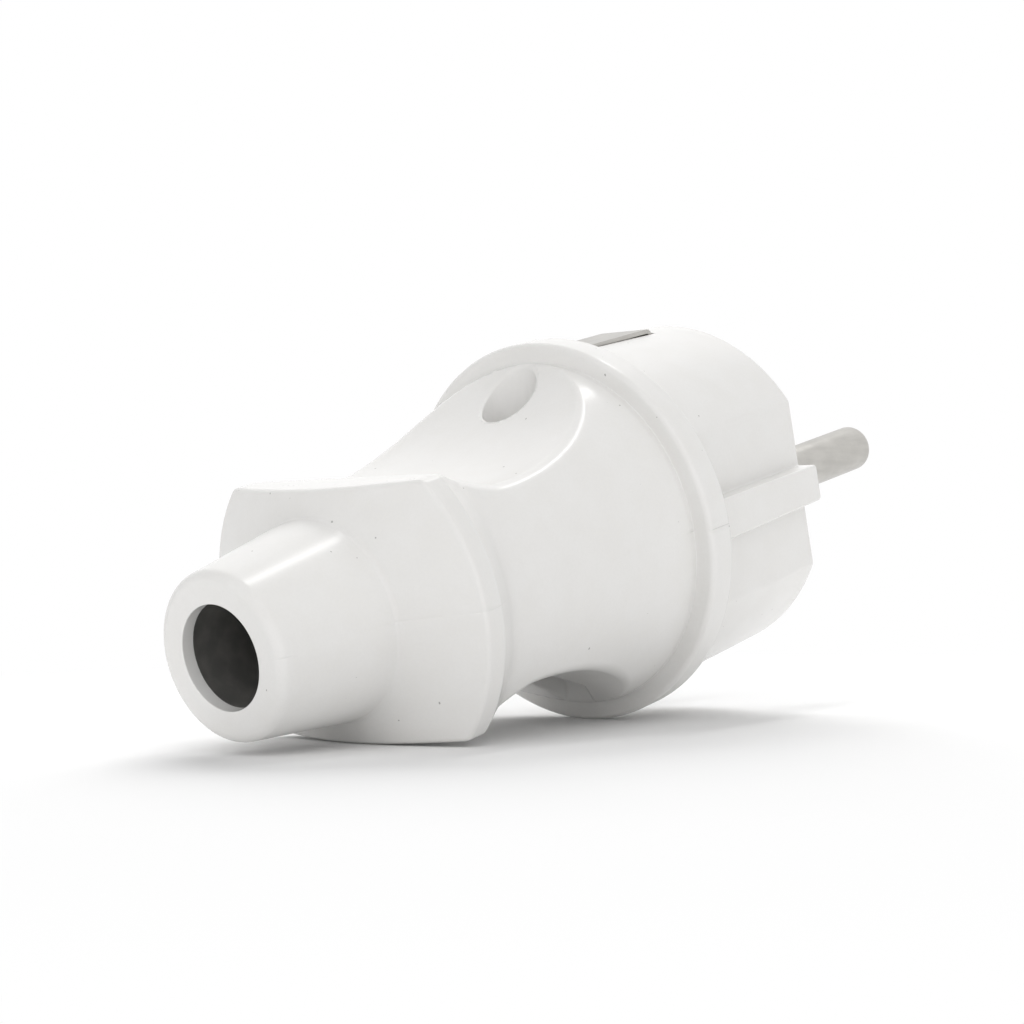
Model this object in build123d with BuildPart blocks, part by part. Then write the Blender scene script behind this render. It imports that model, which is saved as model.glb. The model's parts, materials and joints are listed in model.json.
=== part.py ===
"""Rewireable grounded plug with a straight, waisted grip.

The plug is drawn along its own axis: +Y points out along the pins, X runs through both pins,
Z runs along the housing screws, and the origin is the centre of the face that carries the pins.
At the end every piece is turned together, so that the plug lies as it rests on a table,
on the flange and on the flared end of the grip. All sizes are in millimetres.
"""
from build123d import *
from math import asin, atan2, cos, degrees, hypot, radians, sin, sqrt
import os

# Contact face and pins
pin_pitch = 19.0
pin_radius = 2.4
pin_length = 19.0
pin_tip_round = 1.2
pin_root_radius = 2.6
pin_fit = 0.05
barrel_radius = 3.2
barrel_chamfer = 0.4
wire_hole_radius = 1.7
wire_hole_depth = 9.0
pin_screw_radius = 1.4
pin_screw_head = 2.4
pin_screw_length = 2.2
head_gap = 0.3

# Block that enters the socket, with a neck and a foot behind it
block_radius = 18.05
block_flat = 15.8
block_length = 18.9
block_draft = 1.5
block_edge_round = 0.7
key_half_width = 2.05
key_draft = 0.6
barrel_inset = 3.9
barrel_end = 2.0
neck_wall = 1.3
foot_step = 1.2
foot_thickness = 2.4
foot_flat = 13.1
foot_fit = 0.15
foot_gap = 0.2
channel_half_width = 4.4
face_wall = 3.0
core_radius = 12.0
core_web = 1.8
pin_boss_radius = 4.4
earth_boss_radius = 4.6
barrel_front = barrel_inset - block_length
neck_radius = pin_pitch / 2 + barrel_radius + neck_wall
foot_radius = neck_radius + foot_step

# Housing outside, from the flange back to the tip of the cord collar
wall = 2.1
front_wall = 2.1
flange_lip = 1.41
flange_thickness = 3.35
flange_rear_round = 0.55
flange_front_round = 0.4
ridge_step = 0.65
ridge_round = 0.25
cone_length = 23.9
waist_depth = 2.15
waist_round = 3.0
band_rise = 3.4
band_height = 1.75
band_edge_round = 0.3
band_length = 2.1
flare_round = 1.0
end_depth = 3.37
collar_root_radius = 9.49
collar_root_round = 0.6
collar_length = 12.43
collar_tip_radius = 7.67
collar_tip_round = 1.0
flange_front = -block_length
flange_rear = flange_front - flange_thickness
flange_radius = block_radius + flange_lip
ridge_radius = foot_radius + foot_gap + wall
ridge_y = flange_rear - ridge_step
waist_radius = ridge_radius - waist_depth
waist_y = ridge_y - cone_length
band_radius = waist_radius + band_height
band_y = waist_y - band_rise
flare_y = band_y - band_length
collar_root_y = flare_y - end_depth
collar_end = collar_root_y - collar_length

# Depth of the flats on which the plug lies still, on the flange and on the ends of the scoops
rest_flat = 0.03

# Finger scoops, the same above and below
crest_height = 11.9
scoop_floor = 9.35
scoop_drop = 8.0
scoop_runout = 0.2
scoop_floor_y = band_y + scoop_drop
scoop_rise = ridge_radius + scoop_runout - scoop_floor
scoop_run = flange_rear - scoop_floor_y
scoop_radius = (scoop_rise**2 + scoop_run**2) / (2 * scoop_rise)

# Housing inside
cord_bore_radius = 4.8
cord_lip = 1.9
cord_cavity_tip_radius = 5.9
cord_cavity_root_radius = 7.4

# Screws that hold the two shells together
front_screw_setback = 3.35
boss_radius = 3.0
well_radius = 2.9
well_wall = 1.2
front_seat = 7.0
rear_seat = 4.5
housing_screw_radius = 1.5
screw_fit = 0.12
head_radius = 2.7
head_height = 2.1
slot_width = 0.7
slot_depth = 0.9
nut_across_flats = 5.5
nut_height = 2.3
head_round = 0.5
screw_tip_chamfer = 0.35
front_nut_floor = -8.0
rear_nut_floor = -4.4
screw_past_nut = 0.3
front_screw_y = flange_rear - front_screw_setback
rear_screw_y = scoop_floor_y

# Earth strap, its terminal and the earth socket
strap_thickness = 0.45
strap_half_width = 3.0
strap_fit = 0.35
clip_depth = 0.08
clip_bend = 1.0
clip_tip_bend = 0.6
clip_setback = 6.0
recess_depth = 2.15
recess_setback = 5.2
tab_height = 3.6
tab_rise = 1.8
tab_leg_x = 3.4
tab_reach = 10.0
tab_setback = 1.85
tab_length = 5.8
tab_gap = 0.4
earth_screw_x = 7.1
earth_screw_radius = 1.6
earth_screw_length = 1.4
washer_thickness = 0.8
washer_half = 2.5
washer_corner = 0.5
earth_socket_z = 10.0
socket_mouth_radius = 2.6
socket_mouth_depth = 7.5
socket_wall = 0.45
socket_fit = 0.1
sleeve_grip = 0.2
clip_middle = block_radius - clip_depth - strap_thickness / 2
recess_floor = block_radius - recess_depth
tab_front = flange_front - front_wall - foot_fit - foot_thickness - tab_setback
tab_rear = tab_front - tab_length
earth_screw_y = (tab_front + tab_rear) / 2
pin_screw_y = tab_rear - tab_gap - pin_screw_head
barrel_rear = pin_screw_y - barrel_end

# Cord clamp in the flared end
clamp_inset = 1.4
clamp_width = 4.6
clamp_bolt_x = 8.6
clamp_boss_radius = 2.7
clamp_boss_top = -3.0
clamp_bar_thickness = 2.0
clamp_arch_radius = 3.8
clamp_bolt_radius = 1.4
clamp_bolt_length = 8.5
clamp_head_radius = 2.4
clamp_nut_size = 4.4
clamp_nut_height = 1.8
clamp_nut_top = -5.2
clamp_hole_spare = 0.5
saddle_top = -3.6
saddle_cup_radius = 4.2
saddle_cup_z = -1.2
saddle_width = 3.0
clamp_y = band_y + clamp_inset

# How far a cutting tool reaches, and how far it goes past a face that it opens
reach = pin_length - collar_end
cut_past = 1.0

BASE_ALIGNED = (Align.CENTER, Align.CENTER, Align.MIN)
TOP_ALIGNED = (Align.CENTER, Align.CENTER, Align.MAX)

os.makedirs("parts", exist_ok=True)


def scoop_outline(offset):
    """Closed side view of the housing between the two scoops, drawn as y and z."""
    arc_centre = scoop_floor + scoop_radius
    radius = scoop_radius + offset
    crest = crest_height - offset
    floor = scoop_floor - offset
    top = arc_centre - sqrt(radius**2 - (flange_rear - scoop_floor_y) ** 2)
    middle_y = (scoop_floor_y + flange_rear) / 2
    middle = arc_centre - sqrt(radius**2 - (middle_y - scoop_floor_y) ** 2)
    with BuildSketch(Plane.YZ) as outline:
        with BuildLine():
            Polyline((0, 0), (-reach, 0), (-reach, crest), (band_y, crest))
            Spline((band_y, crest), (scoop_floor_y, floor), tangents=((1, 0), (1, 0)))
            ThreePointArc((scoop_floor_y, floor), (middle_y, middle), (flange_rear, top))
            Polyline((flange_rear, top), (flange_rear, reach), (0, reach), (0, 0))
        make_face()
        mirror(about=Plane.XZ)
    return outline.sketch


end_slope = (flare_y - collar_root_y) / (band_radius - collar_root_radius)


def end_wall_y(radius, depth):
    """Where the sloping end wall lies at a distance from the axis, at a depth below its outside."""
    return collar_root_y + (radius - collar_root_radius) * end_slope + depth * sqrt(1 + end_slope**2)


# How the plug lies: turned about X until the flange and the end of the scoop touch the table together
flange_low_y = flange_rear + flange_rear_round
flange_low_z = flange_rear_round - flange_radius
grip_low_y = end_wall_y(crest_height, 0)
span = hypot(flange_low_y - grip_low_y, flange_low_z + crest_height)
lean = atan2(-crest_height - flange_low_z, flange_low_y - grip_low_y)
tilt = degrees(asin(flange_rear_round / span) + lean)
table_z = rest_flat - crest_height

# The whole outside of the housing, before it is hollowed and parted
with BuildPart() as housing_form:
    with BuildSketch(Plane.XY) as turned:
        with BuildLine():
            Polyline(
                (0, collar_end),
                (collar_tip_radius, collar_end),
                (collar_root_radius, collar_root_y),
                (band_radius, flare_y),
                (band_radius, band_y),
                (waist_radius, waist_y),
                (ridge_radius, ridge_y),
                (ridge_radius, flange_rear),
                (flange_radius, flange_rear),
                (flange_radius, flange_front),
                (0, flange_front),
                close=True,
            )
        make_face()
        for radius, y, size in (
            (collar_tip_radius, collar_end, collar_tip_round),
            (collar_root_radius, collar_root_y, collar_root_round),
            (band_radius, flare_y, flare_round),
            (band_radius, band_y, band_edge_round),
            (waist_radius, waist_y, waist_round),
            (ridge_radius, ridge_y, ridge_round),
            (flange_radius, flange_rear, flange_rear_round),
            (flange_radius, flange_front, flange_front_round),
        ):
            fillet(turned.vertices().sort_by_distance((radius, y))[0], size)
    revolve(axis=Axis.Y)
    add(extrude(scoop_outline(0), amount=reach, both=True, mode=Mode.PRIVATE), mode=Mode.INTERSECT)
    for side in (-1, 1):
        upright = (0, sin(radians(tilt)), -side * cos(radians(tilt)))
        with BuildSketch(Plane(origin=(0, grip_low_y, -side * table_z), z_dir=upright)):
            Rectangle(2 * reach, 2 * reach)
        extrude(amount=-reach, mode=Mode.SUBTRACT)

# The hollow inside both shells
with BuildPart() as cavity:
    with BuildSketch(Plane.XY):
        with BuildLine():
            Polyline(
                (0, collar_end + cord_lip),
                (cord_cavity_tip_radius, collar_end + cord_lip),
                (cord_cavity_root_radius, end_wall_y(cord_cavity_root_radius, wall)),
                (band_radius - wall, end_wall_y(band_radius - wall, wall)),
                (band_radius - wall, band_y),
                (waist_radius - wall, waist_y),
                (ridge_radius - wall, ridge_y),
                (ridge_radius - wall, flange_front - front_wall),
                (0, flange_front - front_wall),
                close=True,
            )
        make_face()
    revolve(axis=Axis.Y)
    add(extrude(scoop_outline(wall), amount=reach, both=True, mode=Mode.PRIVATE), mode=Mode.INTERSECT)

# Screw columns that run from one shell to the other, trimmed to the outside of the housing
with BuildPart() as columns:
    for y, seat in ((front_screw_y, front_seat), (rear_screw_y, rear_seat)):
        with Locations((0, y, 0)):
            Cylinder(boss_radius, 2 * reach)
        with Locations((0, y, seat - well_wall)):
            Cylinder(well_radius + well_wall, reach, align=BASE_ALIGNED)
        with Locations((0, y, well_wall - seat)):
            Cylinder(well_radius + well_wall, reach, align=TOP_ALIGNED)
    add(housing_form.part, mode=Mode.INTERSECT)

# Openings through the front wall and through the cord collar
with BuildPart() as openings:
    with BuildSketch(Plane.XZ.offset(-flange_front)):
        Circle(neck_radius + foot_fit)
    extrude(amount=front_wall + cut_past, both=True)
    with BuildSketch(Plane.XZ.offset(-collar_end)):
        Circle(cord_bore_radius)
    extrude(amount=cord_lip + cut_past, both=True)

# Upper shell, with the wells for the screw heads
with BuildPart() as upper_shell:
    add(housing_form.part)
    add(cavity.part, mode=Mode.SUBTRACT)
    add(columns.part)
    add(openings.part, mode=Mode.SUBTRACT)
    split(bisect_by=Plane.XY, keep=Keep.TOP)
    for y, seat in ((front_screw_y, front_seat), (rear_screw_y, rear_seat)):
        with Locations((0, y, seat)):
            Cylinder(well_radius, reach, align=BASE_ALIGNED, mode=Mode.SUBTRACT)
        with Locations((0, y, 0)):
            Cylinder(housing_screw_radius + screw_fit, reach, mode=Mode.SUBTRACT)

# Bosses and saddle that carry the cord clamp, trimmed to the outside of the housing
with BuildPart() as clamp_seats:
    with Locations((0, clamp_y, saddle_top)):
        Box(2 * clamp_bolt_x, saddle_width, reach, align=TOP_ALIGNED)
    with Locations((0, clamp_y, saddle_cup_z)):
        Cylinder(saddle_cup_radius, reach, rotation=(90, 0, 0), mode=Mode.SUBTRACT)
    for x in (-clamp_bolt_x, clamp_bolt_x):
        with Locations((x, clamp_y, clamp_boss_top)):
            Cylinder(clamp_boss_radius, reach, align=TOP_ALIGNED)
    add(housing_form.part, mode=Mode.INTERSECT)

# Lower shell, with pockets for the nuts, the bosses of the cord clamp and the lower saddle
with BuildPart() as lower_shell:
    add(housing_form.part)
    add(cavity.part, mode=Mode.SUBTRACT)
    add(columns.part)
    add(openings.part, mode=Mode.SUBTRACT)
    split(bisect_by=Plane.XY, keep=Keep.BOTTOM)
    add(clamp_seats.part)
    for y, floor in ((front_screw_y, front_nut_floor), (rear_screw_y, rear_nut_floor)):
        with BuildSketch(Plane.XY.offset(floor)):
            with Locations((0, y)):
                RegularPolygon(nut_across_flats / 2 + screw_fit, 6, major_radius=False)
        extrude(amount=-reach, mode=Mode.SUBTRACT)
        with Locations((0, y, 0)):
            Cylinder(housing_screw_radius + screw_fit, reach, mode=Mode.SUBTRACT)
    for x in (-clamp_bolt_x, clamp_bolt_x):
        with Locations((x, clamp_y, clamp_boss_top)):
            Cylinder(
                clamp_bolt_radius + screw_fit,
                clamp_bolt_length - clamp_bar_thickness + clamp_hole_spare,
                align=TOP_ALIGNED,
                mode=Mode.SUBTRACT,
            )
        with Locations((x, clamp_y + clamp_boss_radius, clamp_nut_top + screw_fit)):
            Box(
                clamp_nut_size + 2 * screw_fit,
                2 * clamp_boss_radius + clamp_nut_size,
                clamp_nut_height + 2 * screw_fit,
                align=TOP_ALIGNED,
                mode=Mode.SUBTRACT,
            )

# Contact carrier: the block that enters the socket, its neck and the foot held by the shells
with BuildPart() as contact_carrier:
    with BuildSketch(Plane.XZ.offset(block_length)):
        Rectangle(2 * block_flat, 2 * (block_radius + cut_past))
    extrude(amount=-block_length, taper=block_draft)
    with BuildSketch(Plane.XZ.offset(block_length)):
        Rectangle(2 * (block_radius + cut_past), 2 * key_half_width)
    extrude(amount=-block_length, taper=key_draft)
    with BuildSketch(Plane.XZ.offset(block_length)):
        Circle(block_radius)
    extrude(amount=-block_length, taper=block_draft, mode=Mode.INTERSECT)
    fillet(contact_carrier.faces().sort_by(Axis.Y)[-1].edges(), block_edge_round)
    with BuildSketch(Plane.XZ.offset(block_length)):
        Circle(neck_radius)
    extrude(amount=front_wall + foot_fit)
    with BuildSketch(Plane.XZ.offset(block_length + front_wall + foot_fit)):
        Circle(foot_radius)
        Rectangle(2 * foot_radius, 2 * foot_flat, mode=Mode.INTERSECT)
    extrude(amount=foot_thickness)
    with BuildSketch(Plane.XZ.offset(face_wall)):
        Circle(core_radius)
        Rectangle(core_web, 2 * core_radius, mode=Mode.SUBTRACT)
        Rectangle(2 * core_radius, core_web, mode=Mode.SUBTRACT)
        with Locations((-pin_pitch / 2, 0), (pin_pitch / 2, 0)):
            Circle(pin_boss_radius, mode=Mode.SUBTRACT)
        with Locations((0, earth_socket_z)):
            Circle(earth_boss_radius, mode=Mode.SUBTRACT)
    extrude(amount=reach, mode=Mode.SUBTRACT)
    with Locations((0, strap_thickness + strap_fit - block_length, 0)):
        Box(
            2 * channel_half_width,
            reach,
            2 * reach,
            align=(Align.CENTER, Align.MAX, Align.CENTER),
            mode=Mode.SUBTRACT,
        )
    for side in (-1, 1):
        with Locations((0, -recess_setback, side * (recess_floor + reach / 2))):
            Box(
                2 * (strap_half_width + strap_fit),
                reach,
                reach,
                align=(Align.CENTER, Align.MAX, Align.CENTER),
                mode=Mode.SUBTRACT,
            )
        with BuildSketch(Plane.XZ):
            with Locations((side * pin_pitch / 2, 0)):
                Circle(pin_root_radius + pin_fit)
        extrude(amount=reach, mode=Mode.SUBTRACT)
        with BuildSketch(Plane.XZ.offset(-barrel_front)):
            with Locations((side * pin_pitch / 2, 0)):
                Circle(barrel_radius + pin_fit)
        extrude(amount=reach, mode=Mode.SUBTRACT)
    with BuildSketch(Plane.XZ):
        with Locations((0, earth_socket_z)):
            Circle(socket_mouth_radius)
    extrude(amount=reach, mode=Mode.SUBTRACT)
    with BuildSketch(Plane.XZ.offset(socket_mouth_depth)):
        with Locations((0, earth_socket_z)):
            Circle(socket_mouth_radius + socket_wall + socket_fit)
    extrude(amount=reach, mode=Mode.SUBTRACT)

def slotted_screw(head, height, shank, length):
    """Cheese-head screw: the head stands on the plane z = 0 and the shank hangs below it."""
    with BuildPart() as screw:
        Cylinder(head, height, align=BASE_ALIGNED)
        fillet(screw.faces().sort_by(Axis.Z)[-1].edges(), head_round)
        with Locations((0, 0, height)):
            Box(reach, slot_width, slot_depth, align=TOP_ALIGNED, mode=Mode.SUBTRACT)
        Cylinder(shank, length, align=TOP_ALIGNED)
        chamfer(screw.faces().sort_by(Axis.Z)[0].edges(), screw_tip_chamfer)
    return screw.part


pieces = {
    "upper_shell": upper_shell.part,
    "lower_shell": lower_shell.part,
    "contact_carrier": contact_carrier.part,
}

# Solid pins, each with a barrel behind the block that takes a wire and its screw
for side, name in ((-1, "left"), (1, "right")):
    pin_x = side * pin_pitch / 2
    with BuildPart() as pin:
        with BuildSketch(Plane.XZ.offset(-pin_length)):
            with Locations((pin_x, 0)):
                Circle(pin_radius)
        extrude(amount=pin_length)
        fillet(pin.faces().sort_by(Axis.Y)[-1].edges(), pin_tip_round)
        with BuildSketch(Plane.XZ):
            with Locations((pin_x, 0)):
                Circle(pin_root_radius)
        extrude(amount=-barrel_front)
        with BuildSketch(Plane.XZ.offset(-barrel_front)):
            with Locations((pin_x, 0)):
                Circle(barrel_radius)
        extrude(amount=barrel_front - barrel_rear)
        chamfer(pin.faces().sort_by(Axis.Y)[0].edges(), barrel_chamfer)
        with BuildSketch(Plane.XZ.offset(-barrel_rear)):
            with Locations((pin_x, 0)):
                Circle(wire_hole_radius)
        extrude(amount=-wire_hole_depth, mode=Mode.SUBTRACT)
        with Locations((pin_x, pin_screw_y, 0)):
            Cylinder(
                pin_screw_radius + screw_fit,
                reach,
                align=BASE_ALIGNED,
                mode=Mode.SUBTRACT,
            )
    pieces["pin_" + name] = pin.part
    with BuildPart() as pin_screw:
        with Locations((pin_x, pin_screw_y, barrel_radius + head_gap)):
            add(slotted_screw(pin_screw_head, head_height, pin_screw_radius, pin_screw_length))
    pieces["pin_screw_" + name] = pin_screw.part

# Earth strap: one folded strip with a clip above, a clip below and a tab for the earth wire
strap_y = -block_length + strap_thickness / 2
clip_tip_y = -clip_setback - strap_thickness / 2
with BuildPart() as earth_strap:
    with BuildSketch(Plane.YZ) as strip:
        with BuildLine() as path:
            FilletPolyline((strap_y, 0), (strap_y, clip_middle), (clip_tip_y, clip_middle), radius=clip_bend)
        trace(line_width=strap_thickness)
        with BuildLine() as tip:
            CenterArc((clip_tip_y, clip_middle - clip_tip_bend), clip_tip_bend, 0, 90)
        trace(line_width=strap_thickness)
        mirror(about=Plane.XZ)
    extrude(amount=strap_half_width, both=True)
    with Locations((0, strap_y, tab_height)):
        Box(
            tab_leg_x + strap_thickness,
            strap_thickness,
            tab_rise,
            align=(Align.MAX, Align.CENTER, Align.MIN),
        )
    with Locations((-tab_leg_x, strap_y + strap_thickness / 2, tab_height)):
        Box(
            strap_thickness,
            strap_y + strap_thickness / 2 - tab_rear,
            tab_rise,
            align=(Align.MAX, Align.MAX, Align.MIN),
        )
    with Locations((-tab_leg_x, tab_front, tab_height)):
        Box(
            tab_reach - tab_leg_x,
            tab_front - tab_rear,
            strap_thickness,
            align=(Align.MAX, Align.MAX, Align.MIN),
        )
    with Locations((-earth_screw_x, earth_screw_y, tab_height)):
        Cylinder(earth_screw_radius + screw_fit, reach, mode=Mode.SUBTRACT)
pieces["earth_strap"] = earth_strap.part

with BuildPart() as earth_washer:
    with Locations((-earth_screw_x, earth_screw_y, tab_height + strap_thickness)):
        Box(2 * washer_half, 2 * washer_half, washer_thickness, align=BASE_ALIGNED)
        Cylinder(earth_screw_radius + screw_fit, reach, mode=Mode.SUBTRACT)
    chamfer(earth_washer.edges().filter_by(Axis.Z), washer_corner)
pieces["earth_washer"] = earth_washer.part

washer_top = tab_height + strap_thickness + washer_thickness
with BuildPart() as earth_screw:
    with Locations((-earth_screw_x, earth_screw_y, washer_top)):
        add(slotted_screw(head_radius, head_height, earth_screw_radius, earth_screw_length))
pieces["earth_screw"] = earth_screw.part

# Split sleeve behind the face that takes a socket's earth pin
sleeve_rear = -block_length + strap_thickness
with BuildPart() as earth_socket:
    with BuildSketch(Plane.XZ.offset(-sleeve_rear)):
        with Locations((0, earth_socket_z)):
            Circle(socket_mouth_radius + socket_wall)
            Circle(socket_mouth_radius - sleeve_grip, mode=Mode.SUBTRACT)
    extrude(amount=sleeve_rear + socket_mouth_depth + socket_fit)
pieces["earth_socket"] = earth_socket.part

# Screws and nuts that clamp the shells together
for name, y, seat, floor in (
    ("front", front_screw_y, front_seat, front_nut_floor),
    ("rear", rear_screw_y, rear_seat, rear_nut_floor),
):
    length = seat - floor + nut_height + screw_past_nut
    with BuildPart() as housing_screw:
        with Locations((0, y, seat)):
            add(slotted_screw(head_radius, head_height, housing_screw_radius, length))
    pieces["housing_screw_" + name] = housing_screw.part
    with BuildPart() as housing_nut:
        with BuildSketch(Plane.XY.offset(floor)):
            with Locations((0, y)):
                RegularPolygon(nut_across_flats / 2, 6, major_radius=False)
                Circle(housing_screw_radius, mode=Mode.SUBTRACT)
        extrude(amount=-nut_height)
    pieces["housing_nut_" + name] = housing_nut.part

# Cord clamp: a bar with an arched middle, drawn down by two screws into square nuts
with BuildPart() as cord_clamp:
    with BuildSketch(Plane.XZ.offset(-clamp_y + clamp_width / 2)):
        with Locations((0, clamp_boss_top)):
            Rectangle(
                2 * (clamp_bolt_x + clamp_boss_radius),
                clamp_bar_thickness,
                align=(Align.CENTER, Align.MIN),
            )
        with Locations((0, clamp_boss_top)):
            Circle(clamp_arch_radius + clamp_bar_thickness)
            Circle(clamp_arch_radius, mode=Mode.SUBTRACT)
            Rectangle(reach, reach, align=(Align.CENTER, Align.MAX), mode=Mode.SUBTRACT)
    extrude(amount=-clamp_width)
    for x in (-clamp_bolt_x, clamp_bolt_x):
        with Locations((x, clamp_y, clamp_boss_top)):
            Cylinder(clamp_bolt_radius + screw_fit, reach, mode=Mode.SUBTRACT)
pieces["cord_clamp"] = cord_clamp.part

for name, x in (("left", -clamp_bolt_x), ("right", clamp_bolt_x)):
    with BuildPart() as clamp_screw:
        with Locations((x, clamp_y, clamp_boss_top + clamp_bar_thickness)):
            add(slotted_screw(clamp_head_radius, head_height, clamp_bolt_radius, clamp_bolt_length))
    pieces["cord_clamp_screw_" + name] = clamp_screw.part
    with BuildPart() as clamp_nut:
        with Locations((x, clamp_y, clamp_nut_top)):
            Box(clamp_nut_size, clamp_nut_size, clamp_nut_height, align=TOP_ALIGNED)
            Cylinder(clamp_bolt_radius, reach, mode=Mode.SUBTRACT)
    pieces["cord_clamp_nut_" + name] = clamp_nut.part

# The pieces laid on the table
laid = {name: piece.rotate(Axis.X, tilt) for name, piece in pieces.items()}
boxes = [piece.bounding_box() for piece in laid.values()]
low = [min(tuple(box.min)[i] for box in boxes) for i in range(3)]
high = [max(tuple(box.max)[i] for box in boxes) for i in range(3)]
shift = (-(low[0] + high[0]) / 2, -(low[1] + high[1]) / 2, -low[2])
for name, piece in laid.items():
    with BuildPart() as placed:
        add(piece.moved(Location(shift)))
    placed.part.label = name
    export_step(placed.part, f"parts/{name}.step")
print("tilt", round(tilt, 3), "size", [round(b - a, 2) for a, b in zip(low, high)])
print("shift", [round(s, 3) for s in shift])
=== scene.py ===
# %% [markdown]
# # Grounded plug
# A white mains plug that its owner can open and wire. Two moulded shells make the waisted grip,
# a block with two nickel pins enters the socket, and a folded strip shows as two earth clips.
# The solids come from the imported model, which is the fixed frame of this scene. The script gives
# every surface its finish, and lays finer skins over the mouldings, because a real moulding has
# soft edges and the highlights along those edges are half of its looks.

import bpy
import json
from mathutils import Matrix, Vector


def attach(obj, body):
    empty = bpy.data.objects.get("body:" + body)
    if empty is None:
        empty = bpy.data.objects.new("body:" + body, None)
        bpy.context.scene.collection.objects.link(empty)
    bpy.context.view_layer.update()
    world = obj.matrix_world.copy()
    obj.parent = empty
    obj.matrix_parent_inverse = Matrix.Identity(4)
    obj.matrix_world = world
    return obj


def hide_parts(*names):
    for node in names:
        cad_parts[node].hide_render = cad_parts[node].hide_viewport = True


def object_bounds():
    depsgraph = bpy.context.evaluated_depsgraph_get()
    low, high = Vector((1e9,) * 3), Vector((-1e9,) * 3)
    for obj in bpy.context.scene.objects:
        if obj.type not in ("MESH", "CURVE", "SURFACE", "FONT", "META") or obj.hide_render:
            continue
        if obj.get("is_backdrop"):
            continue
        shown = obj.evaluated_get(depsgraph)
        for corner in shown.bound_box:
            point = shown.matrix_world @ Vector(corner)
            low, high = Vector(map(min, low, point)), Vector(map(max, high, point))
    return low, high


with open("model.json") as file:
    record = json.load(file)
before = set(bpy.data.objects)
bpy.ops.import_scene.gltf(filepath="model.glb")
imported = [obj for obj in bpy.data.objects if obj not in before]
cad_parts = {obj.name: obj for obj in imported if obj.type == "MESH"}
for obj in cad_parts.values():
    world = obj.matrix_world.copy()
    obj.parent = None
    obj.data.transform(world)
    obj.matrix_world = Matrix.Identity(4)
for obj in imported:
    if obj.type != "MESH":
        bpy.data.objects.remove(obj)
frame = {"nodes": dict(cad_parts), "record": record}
cad_low, cad_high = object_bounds()
print("solids loaded:", len(frame["nodes"]))

# %% Other modules
import json
import math

import bmesh
import bpy
import numpy as np
from mathutils import Matrix, Vector

# %% [markdown]
# The plug lies tilted on a table, but it is easiest to draw along its own axis. So there are two
# frames. In the plug's own frame, in millimetres, +Y points out along the pins, X runs through both
# pins and Z along the housing screws. Two stated mounts, the pins, say where that frame lies in the
# row's frame, which is in metres. Reading it from the mounts keeps the two from drifting apart.

# %% The plug's own frame
MM = 0.001
mounts = {mount["name"]: mount for mount in frame["record"]["mounts"]}
pin_place = [Vector(mounts[name]["pos_m"]) for name in ("pin_left", "pin_right")]
ahead = Vector(mounts["pin_left"]["axis"]).normalized()
sideways = (pin_place[1] - pin_place[0]).normalized()
upward = sideways.cross(ahead)
PIN_PITCH = (pin_place[1] - pin_place[0]).length / MM
face_centre = (pin_place[0] + pin_place[1]) / 2 - ahead * (mounts["pin_left"]["dims"]["length_mm"] / 2 * MM)
turn = Matrix((sideways, ahead, upward)).transposed().to_4x4()
PLUG_TO_ROW = Matrix.Translation(face_centre) @ turn @ Matrix.Scale(MM, 4)
print("tilt of the plug", round(math.degrees(math.asin(ahead.z)), 2), "degrees")


def to_row(points):
    """Points of the plug's frame, in millimetres, as points of the row's frame, in metres."""
    matrix = np.array(PLUG_TO_ROW)
    return np.asarray(points, float) @ matrix[:3, :3].T + matrix[:3, 3]


# %% Objects of the scene
def new_object(name, data):
    made = bpy.data.objects.new(name, data)
    bpy.context.scene.collection.objects.link(made)
    return made


# %% [markdown]
# The camera stood close, low behind the cord end, and was held slightly turned about its own axis.
# It is placed in the plug's frame, because that is where the photograph's lines can be measured.

# %% Camera
CAMERA_PLACE = (152.02, -195.06, 38.71)
CAMERA_AIM = (0.0, -28.04, 3.67)
CAMERA_ROLL = 9.77
LENS = 81.51
NEAREST_SEEN = 0.01

place, aim = (Vector(to_row([point])[0]) for point in (CAMERA_PLACE, CAMERA_AIM))
view = (aim - place).normalized()
across = view.cross(upward).normalized()
above = across.cross(view)
roll = math.radians(CAMERA_ROLL)
right = across * math.cos(roll) - above * math.sin(roll)
top = right.cross(view)
camera = new_object("camera", bpy.data.cameras.new("camera"))
camera.data.lens = LENS
camera.data.clip_start = NEAREST_SEEN
camera.matrix_world = Matrix.Translation(place) @ Matrix((right, top, -view)).transposed().to_4x4()
bpy.context.scene.camera = camera
print("camera", [round(value, 4) for value in place], "up", [round(value, 3) for value in top])

# %% [markdown]
# Node trees read best as plain expressions. A small class wraps a socket, so that `a * b + 0.1`
# adds the Math nodes it stands for. The same class serves materials, the world and Geometry Nodes,
# because all three are trees of nodes that are joined by sockets.


# %% Node trees as expressions
class Value:
    """What comes out of one socket of a node."""

    def __init__(self, nodes, socket):
        self.nodes = nodes
        self.socket = socket

    def math(self, operation, other=0.0, swapped=False):
        pair = (other, self) if swapped else (self, other)
        return self.nodes.node("ShaderNodeMath", {"operation": operation}, dict(enumerate(pair)))

    def __add__(self, other):
        return self.math("ADD", other)

    def __sub__(self, other):
        return self.math("SUBTRACT", other)

    def __rsub__(self, other):
        return self.math("SUBTRACT", other, swapped=True)

    def __mul__(self, other):
        return self.math("MULTIPLY", other)

    __radd__ = __add__
    __rmul__ = __mul__


class Nodes:
    """A node tree whose nodes are made by expressions."""

    def __init__(self, tree):
        self.tree = tree

    def fill(self, socket, content):
        if isinstance(content, Value):
            self.tree.links.new(content.socket, socket)
        else:
            socket.default_value = content

    def node(self, kind, settings=None, inputs=None, output=0):
        made = self.tree.nodes.new(kind)
        for name, setting in (settings or {}).items():
            setattr(made, name, setting)
        for name, content in (inputs or {}).items():
            self.fill(made.inputs[name], content)
        return Value(self, made.outputs[output])


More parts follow.
